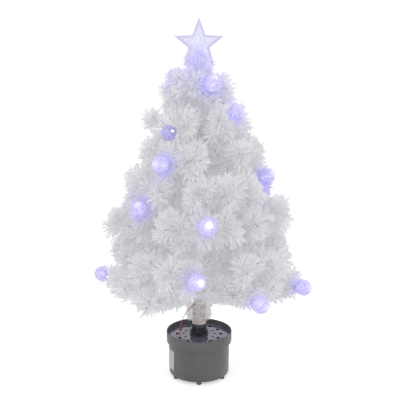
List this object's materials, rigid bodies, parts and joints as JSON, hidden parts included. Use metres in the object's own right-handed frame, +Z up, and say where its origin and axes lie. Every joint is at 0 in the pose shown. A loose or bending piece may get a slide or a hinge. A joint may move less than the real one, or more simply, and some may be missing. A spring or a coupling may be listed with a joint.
{
  "type": "pre-lit artificial tree",
  "caption": "White tabletop artificial tree with lit globes and a clear star, on a round vented base with a lamp and colour wheel; its boughs fold up and its trunk and star lift out",
  "frame": {"origin": "on the floor under the centre of the round base, which is also the trunk's axis", "axes": "+Z up along the trunk, -Y the front that the picture shows, +X to the right of that view"},
  "size_m": [0.5569, 0.5095, 0.902],
  "materials": {
    "grey_plastic": "satin",
    "plate_plastic": "gloss",
    "black_plastic": "satin",
    "ceramic": "matte",
    "lamp_dish": "polished",
    "colour_film": "gloss",
    "plated_steel": "satin",
    "circuit_board": "satin",
    "clear_fibre": "gloss",
    "white_jacket": "satin",
    "white_needles": "satin",
    "clear_globe": "gloss",
    "clear_star": "gloss",
    "red_wire": "satin"
  },
  "bodies": {
    "base": {"pot": "grey_plastic", "bottom_cover": "grey_plastic", "vent_plate": "plate_plastic", "socket_collar": "black_plastic", "lamp_holder": "ceramic", "halogen_lamp": "lamp_dish", "motor": "plated_steel", "motor_bracket": "plated_steel", "driver_board": "circuit_board", "power_inlet": "black_plastic", "red_lead": "red_wire"},
    "wheel": {"colour_wheel": "colour_film", "wheel_hub": "black_plastic"},
    "trunk": {"trunk_ferrule": "black_plastic", "fibre_bundle": "clear_fibre", "trunk_pole": "white_jacket", "treetop": "white_needles", "ball_13": "clear_globe", "ball_14": "clear_globe"},
    "star": {"star_front": "clear_star", "star_back": "clear_star", "star_holder": "black_plastic"},
    "bough_1_1_body": {"bough_1_1": "white_needles", "ball_1": "clear_globe"},
    "bough_1_2_body": {"bough_1_2": "white_needles", "ball_2": "clear_globe"},
    "bough_1_3_body": {"bough_1_3": "white_needles"},
    "bough_1_4_body": {"bough_1_4": "white_needles"},
    "bough_1_5_body": {"bough_1_5": "white_needles", "ball_3": "clear_globe"},
    "bough_1_6_body": {"bough_1_6": "white_needles"},
    "bough_2_1_body": {"bough_2_1": "white_needles", "ball_4": "clear_globe"},
    "bough_2_2_body": {"bough_2_2": "white_needles"},
    "bough_2_3_body": {"bough_2_3": "white_needles"},
    "bough_2_4_body": {"bough_2_4": "white_needles", "ball_5": "clear_globe"},
    "bough_2_5_body": {"bough_2_5": "white_needles"},
    "bough_3_1_body": {"bough_3_1": "white_needles", "ball_6": "clear_globe"},
    "bough_3_2_body": {"bough_3_2": "white_needles"},
    "bough_3_3_body": {"bough_3_3": "white_needles"},
    "bough_3_4_body": {"bough_3_4": "white_needles"},
    "bough_3_5_body": {"bough_3_5": "white_needles", "ball_7": "clear_globe"},
    "bough_4_1_body": {"bough_4_1": "white_needles"},
    "bough_4_2_body": {"bough_4_2": "white_needles", "ball_8": "clear_globe"},
    "bough_4_3_body": {"bough_4_3": "white_needles", "ball_9": "clear_globe"},
    "bough_4_4_body": {"bough_4_4": "white_needles"},
    "bough_5_1_body": {"bough_5_1": "white_needles", "ball_10": "clear_globe"},
    "bough_5_2_body": {"bough_5_2": "white_needles"},
    "bough_5_3_body": {"bough_5_3": "white_needles"},
    "bough_6_1_body": {"bough_6_1": "white_needles", "ball_11": "clear_globe"},
    "bough_6_2_body": {"bough_6_2": "white_needles", "ball_12": "clear_globe"},
    "bough_6_3_body": {"bough_6_3": "white_needles"}
  },
  "joints": [
    {"name": "wheel_spin", "type": "hinge", "parent": "base", "child": "wheel", "pos_m": [0.03, 0, 0.0755], "axis": [0, 0, 1], "continuous": true},
    {"name": "trunk_lift", "type": "slide", "parent": "base", "child": "trunk", "axis": [0, 0, 1], "range_m": [0, 0.046], "deforming": ["red_lead"]},
    {"name": "star_lift", "type": "slide", "parent": "trunk", "child": "star", "axis": [0, 0, 1], "range_m": [0, 0.032]},
    {"name": "fold_1_1", "type": "hinge", "parent": "trunk", "child": "bough_1_1_body", "pos_m": [0.01, -0.01732, 0.218], "axis": [-0.866, -0.5, 0], "range_deg": [-10, 62], "deforming": ["bough_1_1"]},
    {"name": "fold_1_2", "type": "hinge", "parent": "trunk", "child": "bough_1_2_body", "pos_m": [0.02, 0, 0.218], "axis": [0, -1, 0], "range_deg": [-10, 62], "deforming": ["bough_1_2"]},
    {"name": "fold_1_3", "type": "hinge", "parent": "trunk", "child": "bough_1_3_body", "pos_m": [0.01, 0.01732, 0.218], "axis": [0.866, -0.5, 0], "range_deg": [-10, 62], "deforming": ["bough_1_3"]},
    {"name": "fold_1_4", "type": "hinge", "parent": "trunk", "child": "bough_1_4_body", "pos_m": [-0.01, 0.01732, 0.218], "axis": [0.866, 0.5, 0], "range_deg": [-10, 62], "deforming": ["bough_1_4"]},
    {"name": "fold_1_5", "type": "hinge", "parent": "trunk", "child": "bough_1_5_body", "pos_m": [-0.02, 0, 0.218], "axis": [0, 1, 0], "range_deg": [-10, 62], "deforming": ["bough_1_5"]},
    {"name": "fold_1_6", "type": "hinge", "parent": "trunk", "child": "bough_1_6_body", "pos_m": [-0.01, -0.01732, 0.218], "axis": [-0.866, 0.5, 0], "range_deg": [-10, 62], "deforming": ["bough_1_6"]},
    {"name": "fold_2_1", "type": "hinge", "parent": "trunk", "child": "bough_2_1_body", "pos_m": [-0.00561, -0.01726, 0.299], "axis": [-0.9511, 0.309, 0], "range_deg": [-10, 60], "deforming": ["bough_2_1"]},
    {"name": "fold_2_2", "type": "hinge", "parent": "trunk", "child": "bough_2_2_body", "pos_m": [0.01468, -0.01067, 0.299], "axis": [-0.5878, -0.809, 0], "range_deg": [-10, 60], "deforming": ["bough_2_2"]},
    {"name": "fold_2_3", "type": "hinge", "parent": "trunk", "child": "bough_2_3_body", "pos_m": [0.01468, 0.01067, 0.299], "axis": [0.5878, -0.809, 0], "range_deg": [-10, 60], "deforming": ["bough_2_3"]},
    {"name": "fold_2_4", "type": "hinge", "parent": "trunk", "child": "bough_2_4_body", "pos_m": [-0.00561, 0.01726, 0.299], "axis": [0.9511, 0.309, 0], "range_deg": [-10, 60], "deforming": ["bough_2_4"]},
    {"name": "fold_2_5", "type": "hinge", "parent": "trunk", "child": "bough_2_5_body", "pos_m": [-0.01815, 0, 0.299], "axis": [0, 1, 0], "range_deg": [-10, 60], "deforming": ["bough_2_5"]},
    {"name": "fold_3_1", "type": "hinge", "parent": "trunk", "child": "bough_3_1_body", "pos_m": [0, -0.01629, 0.38], "axis": [-1, 0, 0], "range_deg": [-10, 50], "deforming": ["bough_3_1"]},
    {"name": "fold_3_2", "type": "hinge", "parent": "trunk", "child": "bough_3_2_body", "pos_m": [0.0155, -0.00504, 0.38], "axis": [-0.309, -0.9511, 0], "range_deg": [-10, 50], "deforming": ["bough_3_2"]},
    {"name": "fold_3_3", "type": "hinge", "parent": "trunk", "child": "bough_3_3_body", "pos_m": [0.00958, 0.01318, 0.38], "axis": [0.809, -0.5878, 0], "range_deg": [-10, 50], "deforming": ["bough_3_3"]},
    {"name": "fold_3_4", "type": "hinge", "parent": "trunk", "child": "bough_3_4_body", "pos_m": [-0.00958, 0.01318, 0.38], "axis": [0.809, 0.5878, 0], "range_deg": [-10, 50], "deforming": ["bough_3_4"]},
    {"name": "fold_3_5", "type": "hinge", "parent": "trunk", "child": "bough_3_5_body", "pos_m": [-0.0155, -0.00504, 0.38], "axis": [-0.309, 0.9511, 0], "range_deg": [-10, 50], "deforming": ["bough_3_5"]},
    {"name": "fold_4_1", "type": "hinge", "parent": "trunk", "child": "bough_4_1_body", "pos_m": [0.0061, -0.01308, 0.461], "axis": [-0.9063, -0.4226, 0], "range_deg": [-10, 52], "deforming": ["bough_4_1"]},
    {"name": "fold_4_2", "type": "hinge", "parent": "trunk", "child": "bough_4_2_body", "pos_m": [0.01308, 0.0061, 0.461], "axis": [0.4226, -0.9063, 0], "range_deg": [-10, 52], "deforming": ["bough_4_2"]},
    {"name": "fold_4_3", "type": "hinge", "parent": "trunk", "child": "bough_4_3_body", "pos_m": [-0.0061, 0.01308, 0.461], "axis": [0.9063, 0.4226, 0], "range_deg": [-10, 52], "deforming": ["bough_4_3"]},
    {"name": "fold_4_4", "type": "hinge", "parent": "trunk", "child": "bough_4_4_body", "pos_m": [-0.01308, -0.0061, 0.461], "axis": [-0.4226, 0.9063, 0], "range_deg": [-10, 52], "deforming": ["bough_4_4"]},
    {"name": "fold_5_1", "type": "hinge", "parent": "trunk", "child": "bough_5_1_body", "pos_m": [-0.0074, -0.01018, 0.542], "axis": [-0.809, 0.5878, 0], "range_deg": [-10, 50], "deforming": ["bough_5_1"]},
    {"name": "fold_5_2", "type": "hinge", "parent": "trunk", "child": "bough_5_2_body", "pos_m": [0.01252, -0.00131, 0.542], "axis": [-0.1045, -0.9945, 0], "range_deg": [-10, 50], "deforming": ["bough_5_2"]},
    {"name": "fold_5_3", "type": "hinge", "parent": "trunk", "child": "bough_5_3_body", "pos_m": [-0.00512, 0.0115, 0.542], "axis": [0.9135, 0.4067, 0], "range_deg": [-10, 50], "deforming": ["bough_5_3"]},
    {"name": "fold_6_1", "type": "hinge", "parent": "trunk", "child": "bough_6_1_body", "pos_m": [-0.00879, -0.00615, 0.623], "axis": [-0.5736, 0.8192, 0], "range_deg": [-10, 35], "deforming": ["bough_6_1"]},
    {"name": "fold_6_2", "type": "hinge", "parent": "trunk", "child": "bough_6_2_body", "pos_m": [0.00972, -0.00453, 0.623], "axis": [-0.4226, -0.9063, 0], "range_deg": [-10, 35], "deforming": ["bough_6_2"]},
    {"name": "fold_6_3", "type": "hinge", "parent": "trunk", "child": "bough_6_3_body", "pos_m": [-0.00093, 0.01069, 0.623], "axis": [0.9962, 0.0872, 0], "range_deg": [-10, 35], "deforming": ["bough_6_3"]}
  ]
}
